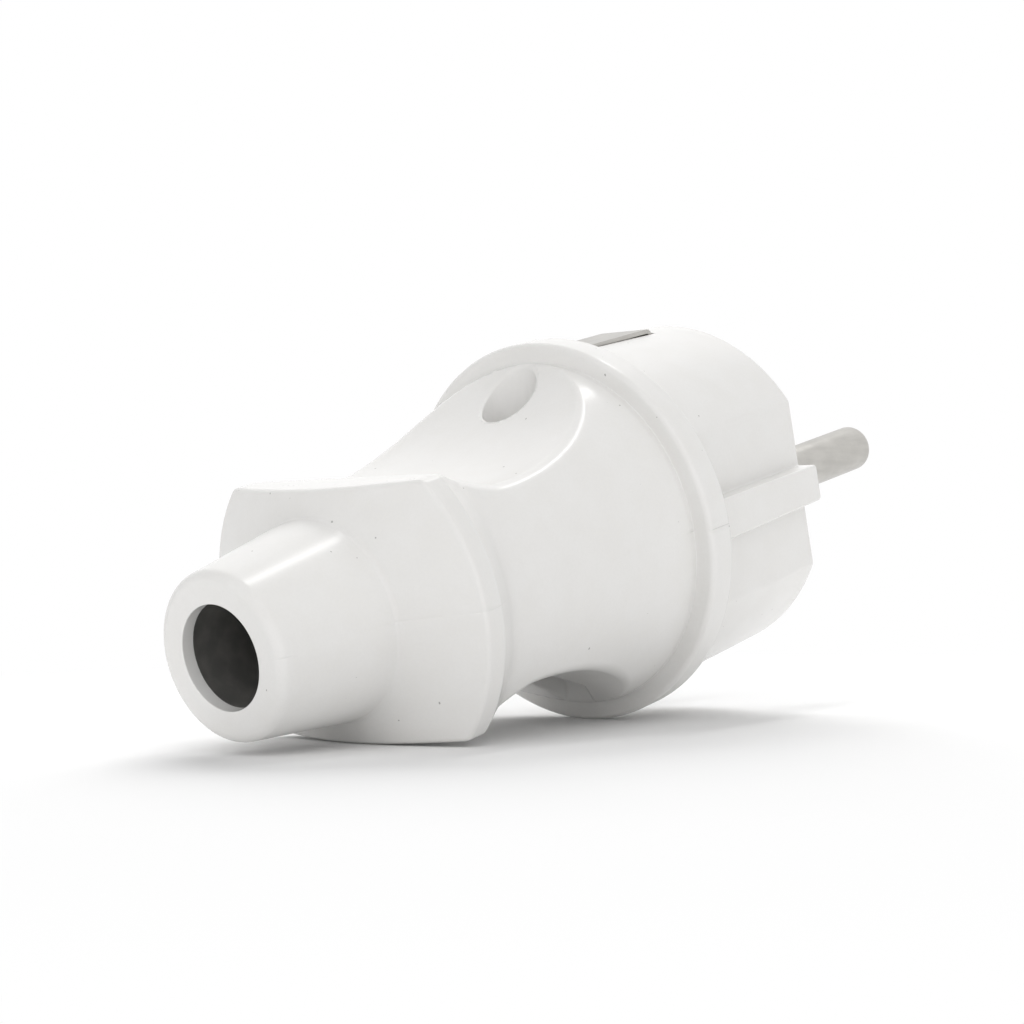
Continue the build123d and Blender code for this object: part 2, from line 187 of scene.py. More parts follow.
# %% Materials
class Paint(Nodes):
    """A material of one Principled surface."""

    def __init__(self, name):
        self.material = bpy.data.materials.new(name)
        self.material.use_nodes = True
        super().__init__(self.material.node_tree)
        self.surface = self.tree.nodes["Principled BSDF"]

    def place(self, scale=(1.0, 1.0, 1.0)):
        """Object coordinates in millimetres, stretched by scale."""
        here = self.node("ShaderNodeTexCoord", output="Object")
        stretch = tuple(factor / MM for factor in scale)
        return self.node("ShaderNodeMapping", None, {"Vector": here, "Scale": stretch})

    def noise(self, scale, detail=2.0, stretch=(1.0, 1.0, 1.0)):
        """Noise between 0 and 1, with scale waves a millimetre."""
        inputs = {"Vector": self.place(stretch), "Scale": scale, "Detail": detail}
        return self.node("ShaderNodeTexNoise", None, inputs)

    def ramp(self, value, low, high, start=0.0, end=1.0):
        """start where value is low, end where it is high, with a smooth change between."""
        inputs = {"Value": value, "From Min": low, "From Max": high, "To Min": start, "To Max": end}
        return self.node("ShaderNodeMapRange", {"interpolation_type": "SMOOTHSTEP"}, inputs)

    def near(self, point, radius):
        """1 at a point of the plug's frame, 0 from a radius on, in millimetres."""
        centre = tuple(to_row([point])[0] / MM)
        inputs = {0: self.place(), 1: centre}
        gap = self.node("ShaderNodeVectorMath", {"operation": "DISTANCE"}, inputs, output="Value")
        return self.ramp(gap, radius * 0.5, radius, 1.0, 0.0)

    def blend(self, share, first, second):
        """Colour that goes from first to second with share."""
        inputs = {"Factor": share, 6: first, 7: second}
        return self.node("ShaderNodeMix", {"data_type": "RGBA"}, inputs, output=2)

    def bump(self, height, distance, strength=1.0):
        inputs = {"Height": height, "Distance": distance, "Strength": strength}
        return self.node("ShaderNodeBump", None, inputs)

    def finish(self, **sockets):
        for name, content in sockets.items():
            self.fill(self.surface.inputs[name.replace("_", " ")], content)
        return self.material


def grey(level, warmth=0.0):
    """A near-neutral colour, linear, slightly yellow where warmth is over 0."""
    return (level, level * (1 - warmth / 3), level * (1 - warmth), 1.0)


# %% [markdown]
# The white plastic is a hard, filled moulding resin: nearly neutral with a touch of cream, satin in
# its gloss, with a faint mottle and an orange-peel so shallow that it only unsettles the highlights.
# A used plug also has specks of dirt. They could be painted on a texture, but noise in Object
# coordinates gives them for nothing and holds still on the piece. A few larger marks stand where
# they were seen: each is a small ball of darkness around one point.

# %% Tone, waves a millimetre and marks of the white plastic
PLASTIC = 0.82
CREAM = 0.035
MOTTLE_WAVES = 0.3
GRAIN_WAVES = 3.5
SPECK_WAVES = 2.2
SPECK_EDGE = (0.885, 0.90)
SPECK_DARK = 0.6
# Each mark has a place in the plug's frame and a radius, in millimetres.
SHELL_MARKS = (
    ((7.99, -52.25, 11.9), 0.11),
    ((10.5, -51.9, 11.9), 0.13),
    ((10.9, -51.8, 11.9), 0.12),
    ((1.7, -52.55, 11.85), 0.10),
    ((-5.4, -52.3, 11.85), 0.12),
    ((-4.7, -52.3, 11.85), 0.12),
    ((-4.0, -52.3, 11.85), 0.12),
    ((-3.3, -52.3, 11.85), 0.10),
    ((3.6, -55.5, 9.05), 0.16),
    ((8.12, -55.0, 7.41), 0.10),
    ((19.4, -19.2, -0.25), 0.14),
    ((19.31, -19.0, -2.41), 0.10),
    ((11.86, -23.33, 12.81), 0.10),
    ((6.64, -54.79, -9.36), 0.10),
    ((11.2, -38.9, 9.6), 0.16),
    ((8.0, -36.9, 9.85), 0.14),
)
BLOCK_MARKS = (((17.68, -8.43, -1.82), 0.10), ((14.9, -15.25, 10.0), 0.10))


# %% White plastic
def white_plastic(name, marks):
    paint = Paint(name)
    mottle = paint.noise(MOTTLE_WAVES, 3.0)
    grain = paint.noise(GRAIN_WAVES, 2.0)
    dark = paint.ramp(paint.noise(SPECK_WAVES, 0.0), *SPECK_EDGE)
    for point, radius in marks:
        dark = dark + paint.near(point, radius)
    dark = paint.ramp(dark, 0.0, 1.0, 0.0, SPECK_DARK)
    low, high = grey(PLASTIC * 0.985, CREAM), grey(PLASTIC, CREAM * 0.8)
    tone = paint.blend(paint.ramp(mottle, 0.3, 0.7), low, high)
    tone = paint.blend(paint.ramp(grain, 0.25, 0.75, 0.0, 0.03), tone, grey(0.45, 0.1))
    return paint.finish(
        Base_Color=paint.blend(dark, tone, grey(0.16, 0.15)),
        Roughness=0.21 + 0.06 * grain,
        Normal=paint.bump(mottle * 0.6 + grain * 0.1, 0.03 * MM, 0.5),
    )


WHITE = white_plastic("white_plastic", SHELL_MARKS)
WHITE_BLOCK = white_plastic("white_plastic_block", BLOCK_MARKS)
print("white plastic with", len(SHELL_MARKS) + len(BLOCK_MARKS), "single marks")

# %% [markdown]
# The inside of the cord inlet is white plastic like the rest, but it looks nearly black, because it
# is a deep hollow that little light reaches. Light could be kept out by modelling every rib in it. A
# dark, dull colour on the hollow's faces is painted shade that gives the same look with far less.


# %% Painted shade of the inlet's hollow
def painted_hollow_shade():
    paint = Paint("inlet_painted_shade")
    shade_mottle = paint.noise(0.5, 4.0)
    return paint.finish(
        # Painted shade: a dark grey with a faint mottle stands for the shade deep in the hollow.
        Base_Color=paint.blend(paint.ramp(shade_mottle, 0.3, 0.7), grey(0.18, 0.06), grey(0.24, 0.08)),
        Roughness=0.75 + 0.15 * shade_mottle,
        Normal=paint.bump(shade_mottle, 0.1 * MM, 0.5),
    )


PAINTED_SHADE = painted_hollow_shade()

# %% [markdown]
# The pins and clips are brass under a thin coat of nickel: a slightly warm grey metal. Bar stock is
# drawn through a die, so its faint streaks run along the plug. Noise that is stretched along one
# axis gives such streaks, in the colour and in a very shallow relief.


# %% Metals
def drawn_metal(name, colour, roughness, streak):
    paint = Paint(name)
    lines = paint.noise(1.2, 3.0, stretch=(1.0, 0.12, 1.0))
    blotch = paint.noise(0.4, 3.0)
    wear = lines * 0.5 + blotch * 0.5
    dark = tuple(channel * (1 - streak) for channel in colour[:3]) + (1.0,)
    return paint.finish(
        Base_Color=paint.blend(paint.ramp(wear, 0.38, 0.62), dark, colour),
        Metallic=1.0,
        Roughness=roughness + 0.1 * wear,
        Normal=paint.bump(lines, 0.006 * MM, 0.4),
    )


NICKEL = drawn_metal("nickel", (0.57, 0.555, 0.525, 1.0), 0.30, 0.12)
BRASS = drawn_metal("brass", (0.62, 0.47, 0.22, 1.0), 0.28, 0.12)
STEEL = drawn_metal("zinc_plated_steel", (0.50, 0.50, 0.51, 1.0), 0.28, 0.2)
print("finishes:", [made.name for made in (WHITE, WHITE_BLOCK, PAINTED_SHADE, NICKEL, BRASS, STEEL)])

# %% [markdown]
# An outline is a list of corners, each with the radius of its round. A curve object could hold it,
# but then its points would have to be read back from the curve. Here one function puts in the arcs
# and divides the straight runs, so that every turned or lofted form below starts from a few sizes.
# The length of a step may depend on the place, so that small rounds get more points than long runs.

# %% Rounded corners
ARC_STEP = math.radians(9)


def rounded_corner(before, corner, after, radius):
    """Points of the arc that rounds a corner."""
    here = np.array(corner, float)
    back, onward = np.array(before) - here, np.array(after) - here
    back, onward = back / np.linalg.norm(back), onward / np.linalg.norm(onward)
    half = math.acos(np.clip(back @ onward, -1, 1)) / 2
    centre = here + (back + onward) / np.linalg.norm(back + onward) * radius / math.sin(half)
    start = here + back * radius / math.tan(half) - centre
    end = here + onward * radius / math.tan(half) - centre
    sweep = math.pi - 2 * half
    share = np.linspace(0, 1, max(3, math.ceil(sweep / ARC_STEP)) + 1)[:, None]
    return centre + (start * np.sin((1 - share) * sweep) + end * np.sin(share * sweep)) / math.sin(sweep)


def outline(corners, step, closed=False):
    """Points along the runs between corners (a, b, radius); step gives the spacing at a point."""
    points = []
    for index, (a, b, radius) in enumerate(corners):
        if radius <= 0 or (not closed and index in (0, len(corners) - 1)):
            points.append(np.array((a, b), float))
        else:
            before, after = corners[index - 1][:2], corners[(index + 1) % len(corners)][:2]
            points.extend(rounded_corner(before, (a, b), after, radius))
    if closed:
        points.append(points[0])
    divided = [points[0]]
    for first, second in zip(points, points[1:]):
        pieces = max(1, math.ceil(np.linalg.norm(second - first) / step((first + second) / 2)))
        divided += [first + (second - first) * part / pieces for part in range(1, pieces + 1)]
    return np.array(divided[:-1] if closed else divided)


# %% [markdown]
# ## The grip
# The grip is what a lathe and a saw would make: a turned body, cut above and below by a scoop that
# is the same all the way across. The edge between the two is soft on the real moulding. A Bevel
# modifier would need clean edges along the cut. Instead each form gets a signed distance, and the
# skin is moved to where the rounded meeting of the two distances is zero.

# %% Sizes of the grip, in millimetres
COLLAR_END = -68.1
COLLAR_ROOT = -55.67
CORD_HOLE = mounts["cord_entry"]["dims"]["r_mm"]
CORD_LIP = 1.3
FLANGE_REAR = -22.25
FLANGE_FRONT = -18.9
# Corners of the turned body: radius, place along the axis, round of the corner.
BODY = (
    (7.67, COLLAR_END, 1.0),
    (9.49, COLLAR_ROOT, 0.6),
    (17.1, -52.3, 0.5),
    (17.1, -50.2, 0.3),
    (15.35, -46.8, 3.0),
    (17.5, -22.9, 0.25),
    (17.5, FLANGE_REAR, 0.15),
    (19.46, FLANGE_REAR, 0.55),
    (19.46, FLANGE_FRONT, 0.4),
)
NECK_OPENING = 14.15
CREST = 11.9
CREST_FRONT = -50.2
SCOOP_FLOOR = 9.35
SCOOP_FLOOR_Y = -42.2
SCOOP_RADIUS = 28.0
OVER = 5.0
FAR = 60.0


def scoop_height(y, depth=0.0):
    """Height of the scooped face over the plug's axis, or of a face at a depth below it."""
    y = np.asarray(y, float)
    share = np.clip((y - CREST_FRONT) / (SCOOP_FLOOR_Y - CREST_FRONT), 0, 1)
    dip = CREST + (SCOOP_FLOOR - CREST) * share * share * (3 - 2 * share) - depth
    radius = SCOOP_RADIUS + depth
    rise = SCOOP_FLOOR + SCOOP_RADIUS - np.sqrt(np.maximum(radius**2 - (y - SCOOP_FLOOR_Y) ** 2, 0))
    return np.where(y > FLANGE_REAR, FAR, np.where(y > SCOOP_FLOOR_Y, rise, dip))


# %% [markdown]
# The moulding's edges aren't equally soft. At the crest, where two mould halves met, they are crisp;
# along the cone they are rounded for the fingers, and towards the flange they run out sharp. So the
# radius of the edge is itself a line of values along the axis.

# %% Edge rounds and point spacing
EDGE_PLACES = (-49.5, -47.0, -31.0, -23.4)
EDGE_ROUNDS = (0.38, 0.85, 0.80, 0.02)
FINE_STRETCH = (-55.4, -49.6)
FINE_STEP = 0.11
COARSE_STEP = 0.36
SCOOP_POINTS = 66


def edge_round(y):
    return np.interp(y, EDGE_PLACES, EDGE_ROUNDS)


def skin_step(point):
    """Points lie close on the flare and the band, where the crest's edges cross the rows."""
    return FINE_STEP if FINE_STRETCH[0] < point[1] < FINE_STRETCH[1] else COARSE_STEP


def long_step(point):
    return FAR


body_line = outline(((0.0, COLLAR_END, 0), *BODY, (0.0, FLANGE_FRONT, 0)), long_step)
scoop_start = COLLAR_END - OVER
scoop_y = np.concatenate(([scoop_start], np.linspace(CREST_FRONT, FLANGE_REAR, SCOOP_POINTS)))
scoop_line = np.vstack((
    [(scoop_start, -FAR)],
    np.stack((scoop_y, scoop_height(scoop_y)), 1),
    [(FLANGE_REAR, FAR), (0.0, FAR), (0.0, -FAR)],
))
print("points that guide the skin", len(body_line), "and", len(scoop_line))


# %% Signed distance to an outline
NO_LENGTH = 1e-12
NO_GAP = 1e-9
ON_LINE = 1e-6


def is_inside(point, first, second, along):
    """Whether points lie inside a closed outline, by counting the runs on their right."""
    crosses = (first[:, 1] > point[:, :, 1]) != (second[:, 1] > point[:, :, 1])
    rise = np.where(np.abs(along[:, 1]) < NO_LENGTH, NO_LENGTH, along[:, 1])
    meeting = first[:, 0] + (point[:, :, 1] - first[:, 1]) / rise * along[:, 0]
    return (crosses & (point[:, :, 0] < meeting)).sum(1) % 2 == 1


def distance_to(loop, points, batch=8000):
    """Signed distance of points to a closed outline, negative inside, and the way it grows."""
    first, second = loop, np.roll(loop, -1, axis=0)
    along = second - first
    length = (along**2).sum(1)
    keep = length > NO_LENGTH
    first, second, along, length = first[keep], second[keep], along[keep], length[keep]
    outward = np.stack((along[:, 1], -along[:, 0]), 1) / np.sqrt(length)[:, None]
    outward *= np.sign((first[:, 0] * second[:, 1] - second[:, 0] * first[:, 1]).sum())
    distance, growth = np.empty(len(points)), np.empty((len(points), 2))
    for start in range(0, len(points), batch):
        part = slice(start, start + batch)
        point = points[part, None, :]
        share = np.clip(((point - first) * along).sum(2) / length, 0, 1)
        gap = point - (first + share[:, :, None] * along)
        squared = (gap**2).sum(2)
        nearest = squared.argmin(1)
        rows = np.arange(len(nearest))
        size = np.sqrt(squared[rows, nearest])
        sign = np.where(is_inside(point, first, second, along), -1.0, 1.0)
        direction = gap[rows, nearest] * (sign / np.maximum(size, NO_GAP))[:, None]
        direction[size < ON_LINE] = outward[nearest[size < ON_LINE]]
        distance[part], growth[part] = size * sign, direction
    return distance, growth


# %% Rounded meeting of the turned body and the scoops
LEAST_STEEP = 0.25


def grip_distance(points):
    """Distance to the rounded meeting, and the way it grows."""
    x, y, z = points.T
    radius = np.maximum(np.hypot(x, z), NO_GAP)
    turned, turned_way = distance_to(body_line, np.stack((radius, y), 1))
    cut, cut_way = distance_to(scoop_line, np.stack((y, np.abs(z)), 1))
    edge = edge_round(y)
    over_turned, over_cut = np.maximum(turned + edge, 0), np.maximum(cut + edge, 0)
    size = np.hypot(over_turned, over_cut)
    distance = np.minimum(np.maximum(turned, cut), -edge) + size
    outward, along = turned_way.T
    turned_way = np.stack((outward * x / radius, along, outward * z / radius), 1)
    along, rise = cut_way.T
    cut_way = np.stack((np.zeros(len(y)), along, rise * np.sign(z)), 1)
    growth = over_turned[:, None] * turned_way + over_cut[:, None] * cut_way
    growth = growth / np.maximum(size, NO_GAP)[:, None]
    deep = size < NO_GAP
    growth[deep] = np.where((turned > cut)[deep, None], turned_way[deep], cut_way[deep])
    return distance, growth


def settle(points, rounds=6):
    """Moves points along the growth of the distance until they lie on the rounded surface."""
    for _ in range(rounds):
        distance, growth = grip_distance(points)
        steep = np.maximum((growth**2).sum(1), LEAST_STEEP)
        points = points - growth * (distance / steep)[:, None]
    print("largest distance left", round(float(np.abs(grip_distance(points)[0]).max()), 4), "mm")
    return points


# %% [markdown]
# A few helpers turn rows of points into closed meshes. Doubled points are merged and the faces are
# turned outwards before anything else happens to a mesh. No point of a piece may sink below the
# table, while what only cuts may go anywhere.

# %% Mesh helpers
DOUBLED = 0.0002 * MM
SHELL_CREASE = 50
BLOCK_CREASE = 35
CUTTER_CREASE = 30


def soft(mesh, crease):
    """Smooth shading, with edges that are sharper than the crease angle, in degrees, kept sharp."""
    mesh.shade_smooth()
    mesh.set_sharp_from_angle(angle=math.radians(crease))


def mesh_object(name, points, faces, material, crease, inside=(), lowest=0.0):
    """A piece from points of the plug's frame; faces numbered in inside get the painted shade of the hollow.
    """
    placed = to_row(points)
    placed[:, 2] = np.maximum(placed[:, 2], lowest)
    mesh = bpy.data.meshes.new(name)
    mesh.from_pydata(placed.tolist(), [], faces)
    mesh.materials.append(material)
    if len(inside):
        mesh.materials.append(PAINTED_SHADE)
        index = np.zeros(len(mesh.polygons), dtype=np.int32)
        index[inside] = 1
        mesh.polygons.foreach_set("material_index", index)
    tidy_mesh(mesh)
    soft(mesh, crease)
    return new_object(name, mesh)


def cutter(points, faces, material=WHITE):
    return mesh_object("cutter", points, faces, material, CUTTER_CREASE, lowest=-FAR)


def tidy_mesh(mesh):
    """Merges doubled points and turns the faces outwards."""
    work = bmesh.new()
    work.from_mesh(mesh)
    bmesh.ops.remove_doubles(work, verts=work.verts, dist=DOUBLED)
    bmesh.ops.recalc_face_normals(work, faces=work.faces)
    work.to_mesh(mesh)
    work.free()


def grid_faces(rows, columns, wrap_rows=False, wrap_columns=False):
    """Faces of a grid of points that is stored row after row."""
    faces = []
    for row in range(rows if wrap_rows else rows - 1):
        for column in range(columns if wrap_columns else columns - 1):
            after, beside = (row + 1) % rows * columns, (column + 1) % columns
            here = row * columns
            faces.append((here + column, here + beside, after + beside, after + column))
    return faces


def applied(piece):
    """Turns what the modifiers make into the piece's own mesh."""
    shown = piece.evaluated_get(bpy.context.evaluated_depsgraph_get())
    result = bpy.data.meshes.new_from_object(shown)
    piece.modifiers.clear()
    piece.data = result
    return piece


def cut_away(piece, tool):
    """Takes the tool's volume out of a piece and removes the tool."""
    modifier = piece.modifiers.new("cut", "BOOLEAN")
    modifier.operation = "DIFFERENCE"
    modifier.solver = "EXACT"
    modifier.object = tool
    applied(piece)
    bpy.data.objects.remove(tool)


def join(name, parts):
    """One object from several whose places are already in their meshes."""
    with bpy.context.temp_override(active_object=parts[0], selected_editable_objects=parts):
        bpy.ops.object.join()
    parts[0].name = name
    return parts[0]


def triangles(piece):
    return sum(len(face.vertices) - 2 for face in piece.data.polygons)


# %% [markdown]
# The housing is two mouldings with a wall of one thickness. A Solidify modifier would carry that
# wall into the flange as well, which is solid on the real plug. So each shell is a loft: the closed
# section of its wall is set up at many angles round the axis. More angles stand where the scoop's
# edge crosses a row, because a small round needs close points. The outside is then settled on the
# rounded surface. At the parting plane the section steps in, more at the flange and the band than
# on the cone, which gives the fine line where the shells meet.

# %% Columns of the shells
SIDE_COLUMNS = 40
EDGE_COLUMNS = 24
TOP_COLUMNS = 52
EDGE_REACH = 1.25
WIDEST_REACH = 0.3
STEEPEST = 1.2
SEAM_ANGLE = 0.0035
SEAM_PLACES = (-68.1, -66.5, -57.0, -55.0, -53.0, -52.6, -50.2, -49.8, -23.5, -22.6)
SEAM_STEPS = (0.03, 0.004, 0.004, 0.03, 0.004, 0.04, 0.04, 0.003, 0.003, 0.06)


def quarter_angles(radius, y):
    """Angles from the parting plane to the top, closest round the scoop's edge."""
    edge = min(math.asin(min(1.0, float(scoop_height(y)) / radius)), STEEPEST)
    reach = min(EDGE_REACH / radius, WIDEST_REACH)
    side = np.linspace(SEAM_ANGLE, edge - reach, SIDE_COLUMNS, endpoint=False)
    close = np.linspace(edge - reach, edge + reach, EDGE_COLUMNS, endpoint=False)
    crown = np.linspace(edge + reach, math.pi / 2, TOP_COLUMNS)
    return np.concatenate(([0.0], side, close, crown))


def half_ring(radius, y, ceiling):
    """Points from the parting plane over the top to it again, none of them above the ceiling."""
    quarter = quarter_angles(radius, y)
    angles = np.concatenate((quarter, math.pi - quarter[-2::-1]))
    clipped = np.minimum(radius, ceiling / np.maximum(np.sin(angles), ON_LINE))
    return np.stack((clipped * np.cos(angles), np.full(len(angles), y), clipped * np.sin(angles)), 1)


# %% Outside of the upper shell
LIP_ROUND = 0.1
LIP_MEETING = COLLAR_END + 0.3
SETTLED_FROM = COLLAR_ROOT - 0.5


def outer_skin():
    """Rows of points from the cord inlet's lip to the front of the flange."""
    lip = ((CORD_HOLE, LIP_MEETING, 0), (CORD_HOLE, COLLAR_END, LIP_ROUND))
    line = outline((*lip, *BODY, (NECK_OPENING, FLANGE_FRONT, 0)), skin_step)[1:-1]
    skin = np.array([half_ring(radius, y, float(scoop_height(y))) for radius, y in line])
    cut = skin[:, 0, 1] > SETTLED_FROM
    skin[cut] = settle(skin[cut].reshape(-1, 3)).reshape(skin[cut].shape)
    step = np.interp(skin[:, 0, 1], SEAM_PLACES, SEAM_STEPS)
    for edge, way in ((0, 1), (-1, -1)):
        skin[:, edge, 0] -= way * step
        skin[:, edge, 2] = 0.0
    return skin


outside = outer_skin()

# %% Inside of the upper shell
WALL = 2.1
FRONT_WALL_REAR = FLANGE_FRONT - WALL
LIP_REAR = COLLAR_END + CORD_LIP
LINING_STEP = 1.0
PAST_LIP = 0.1
INNER = (
    (NECK_OPENING, FLANGE_FRONT, 0),
    (NECK_OPENING, FRONT_WALL_REAR, 0),
    (15.3, FRONT_WALL_REAR, 0),
    (15.3, -22.9, 0),
    (13.25, -46.8, 0),
    (15.0, -50.9, 0),
    (7.4, -54.3, 0),
    (5.9, LIP_REAR, 0),
    (CORD_HOLE, LIP_REAR, 0),
    (CORD_HOLE, LIP_MEETING, 0),
)


def lining_skin():
    """Rows of points from the front wall to the inlet's lip, and which of them lie in the hollow."""
    rows, hollow = [], []
    for radius, y in outline(INNER, lambda point: LINING_STEP):
        deep = LIP_REAR + PAST_LIP < y < FRONT_WALL_REAR + ON_LINE
        ceiling = float(scoop_height(min(y, FLANGE_REAR), WALL)) if deep else FAR
        rows.append(half_ring(radius, y, ceiling))
        hollow.append(y > LIP_REAR - ON_LINE)
    return np.array(rows), hollow


lining, hollow = lining_skin()
print("rows of points outside", len(outside), "and inside", len(lining))


# %% Shells
def shell_skin(name, side):
    """The upper shell where side is 1, the lower one, its mirror image, where it is -1."""
    section = np.concatenate((outside, lining)) * (1, 1, side)
    rows, columns = section.shape[:2]
    faces = grid_faces(rows, columns, wrap_rows=True)
    # Faces deep in the hollow behind the inlet's lip take the painted shade.
    dark = [
        (len(outside) + row) * (columns - 1) + column
        for row in range(len(lining) - 1)
        if hollow[row] and hollow[row + 1]
        for column in range(columns - 1)
    ]
    faces += [tuple(row * columns + column for row in range(rows)) for column in (0, columns - 1)]
    return mesh_object(name, section.reshape(-1, 3), faces, WHITE, SHELL_CREASE, dark)


upper = shell_skin("upper_shell_skin", 1)
lower = shell_skin("lower_shell_skin", -1)
print("shell triangles", triangles(upper), triangles(lower))

# %% [markdown]
# Round wells take the screw heads above, and six-sided pockets hold the nuts below. A Boolean alone
# would leave a sharp rim, and a moulded rim is soft. So each is a ring that starts on the scooped
# face, turns down over a small round and runs to its seat. A slightly smaller hole is cut in the
# skin first, so the two meet without a gap.

# %% Sizes of the wells and pockets
WELL_RADIUS = 2.9
NUT_FLAT = 2.87
SCREW_HOLE = 1.62
SCREW_SEATS = ((-25.6, 7.0), (-42.2, 4.5))
NUT_SEATS = ((-25.6, 8.0), (-42.2, 4.4))
RIM_ROUND = 0.3
RIM_STEPS = 7
RIM_PROUD = 0.004
RIM_DEPTH = 0.4
RIM_OVERLAP = 0.04
SEAT_ROUND = 0.15
SEAT_THICKNESS = 1.2
COLUMN_WALL = 1.2
COLUMN_TOP = 13.5
COLUMN_DROP = 1.0
CUT_FROM, CUT_TO = 2.0, 30.0
JUST_BEHIND = 0.01
RING_STEPS = 96
RING_ANGLES = np.linspace(0, 2 * math.pi, RING_STEPS, endpoint=False)
RING_WAYS = np.stack((np.cos(RING_ANGLES), np.sin(RING_ANGLES)), 1)


def face_height(x, y):
    """Height of the grip's outer face over points of the pin plane, behind the flange."""
    y = np.minimum(y, FLANGE_REAR - JUST_BEHIND)
    radii, places, _ = zip(*[corner for corner in BODY if corner[1] <= FLANGE_REAR][:-1])
    radius = np.interp(y, places, radii)
    return np.minimum(scoop_height(y), np.sqrt(np.maximum(radius**2 - x**2, 0)))


def round_hole():
    return np.full(RING_STEPS, WELL_RADIUS)


def nut_hole():
    """Radius of a six-sided pocket with two flats towards the ends of the plug."""
    sector = math.pi / 3
    return NUT_FLAT / np.cos(RING_ANGLES % sector - sector / 2)


# %% Wells and nut pockets
def seat_ring(side, y, seat, hole):
    """The wall and floor of a well or pocket, as rings of a radius and a height each."""
    rows = []
    for share in np.linspace(1, 0, RIM_STEPS):
        ring = hole + RIM_ROUND * share
        x, along = (ring[:, None] * RING_WAYS).T
        drop = RIM_ROUND * (1 - math.sqrt(1 - (1 - share) ** 2)) - RIM_PROUD * share
        rows.append((ring, face_height(x, y + along) - drop))
    rim = rows[0][1]
    flat = np.full(RING_STEPS, 1.0)
    bottom = flat * (seat - SEAT_THICKNESS)
    rows += [(hole, flat * (seat + SEAT_ROUND)), (hole - SEAT_ROUND, flat * seat)]
    rows += [(SCREW_HOLE * flat, flat * seat), (SCREW_HOLE * flat, bottom)]
    rows += [(hole + COLUMN_WALL, bottom)]
    rows += [(hole + COLUMN_WALL, np.minimum(rim - COLUMN_DROP, COLUMN_TOP))]
    rows += [(rows[0][0], rim - RIM_DEPTH)]
    points = [
        np.column_stack((ring[:, None] * RING_WAYS + (0, y), side * height)) for ring, height in rows
    ]
    faces = grid_faces(len(points), RING_STEPS, wrap_rows=True, wrap_columns=True)
    return mesh_object("ring", np.concatenate(points), faces, WHITE, SHELL_CREASE)


def prism(ring, bottom, top):
    """A closed cutter of a ring of (x, y) points between two heights."""
    points = [np.column_stack((ring, np.full(len(ring), height))) for height in (bottom, top)]
    faces = grid_faces(2, len(ring), wrap_columns=True)
    faces += [tuple(range(len(ring))), tuple(range(len(ring), 2 * len(ring)))]
    return np.concatenate(points), faces


def hole_cutter(side, y, hole):
    reach = hole + RIM_ROUND - RIM_OVERLAP
    return cutter(*prism(reach[:, None] * RING_WAYS + (0, y), side * CUT_FROM, side * CUT_TO))


# %% Screws above, nuts below
for shell, side, hole, seats in ((upper, 1, round_hole(), SCREW_SEATS), (lower, -1, nut_hole(), NUT_SEATS)):
    rings = []
    for y, seat in seats:
        cut_away(shell, hole_cutter(side, y, hole))
        rings.append(seat_ring(side, y, seat, hole))
    join(shell.name, [shell, *rings])
    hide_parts("upper_shell" if side > 0 else "lower_shell")
    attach(shell, "root")
print("with wells and pockets", triangles(upper), triangles(lower))

# %% [markdown]
# ## The block
# The block is round with two flats and a key on each flat. An extrusion would be quicker, but it has
# no draft, and the slight taper is what lets a moulding leave its mould. So the block is lofted: the
# same outline, drawn in by the draft and then by the round of its front edge, is set up from the
# neck to the face. The keys taper less than the block, so their half width has its own draft.

# %% Outline of the block
BLOCK_RADIUS = 18.05
BLOCK_FLAT = 15.8
BLOCK_LENGTH = 18.9
KEY_HALF_WIDTH = 2.05
BLOCK_DRAFT = math.tan(math.radians(1.5))
KEY_DRAFT = math.tan(math.radians(0.6))
FRONT_ROUND = 0.7
EDGE_ROUND = 0.28
FLAT_ROUND = 1.2
ARC_STEPS = 34
DRAFT_SECTIONS = 25
ROUND_SECTIONS = 8


def block_outline(inset, key_inset):
    """The block's outline drawn in by inset, from the key on the right round to it again."""
    radius, flat, key = BLOCK_RADIUS - inset, BLOCK_FLAT - inset, KEY_HALF_WIDTH - key_inset
    key_x = math.sqrt(radius**2 - key**2)
    flat_top = math.sqrt(radius**2 - flat**2)
    start = math.atan2(flat_top, flat)
    arc = np.linspace(start, math.pi - start, ARC_STEPS)
    upper_half = [(key_x, key, EDGE_ROUND), (flat, key, EDGE_ROUND), (flat, flat_top, FLAT_ROUND)]
    upper_half += [(radius * math.cos(angle), radius * math.sin(angle), 0) for angle in arc[1:-1]]
    upper_half += [(-flat, flat_top, FLAT_ROUND), (-flat, key, EDGE_ROUND), (-key_x, key, EDGE_ROUND)]
    lower_half = [(-x, -z, rounding) for x, z, rounding in upper_half]
    return outline(upper_half + lower_half, long_step, closed=True)


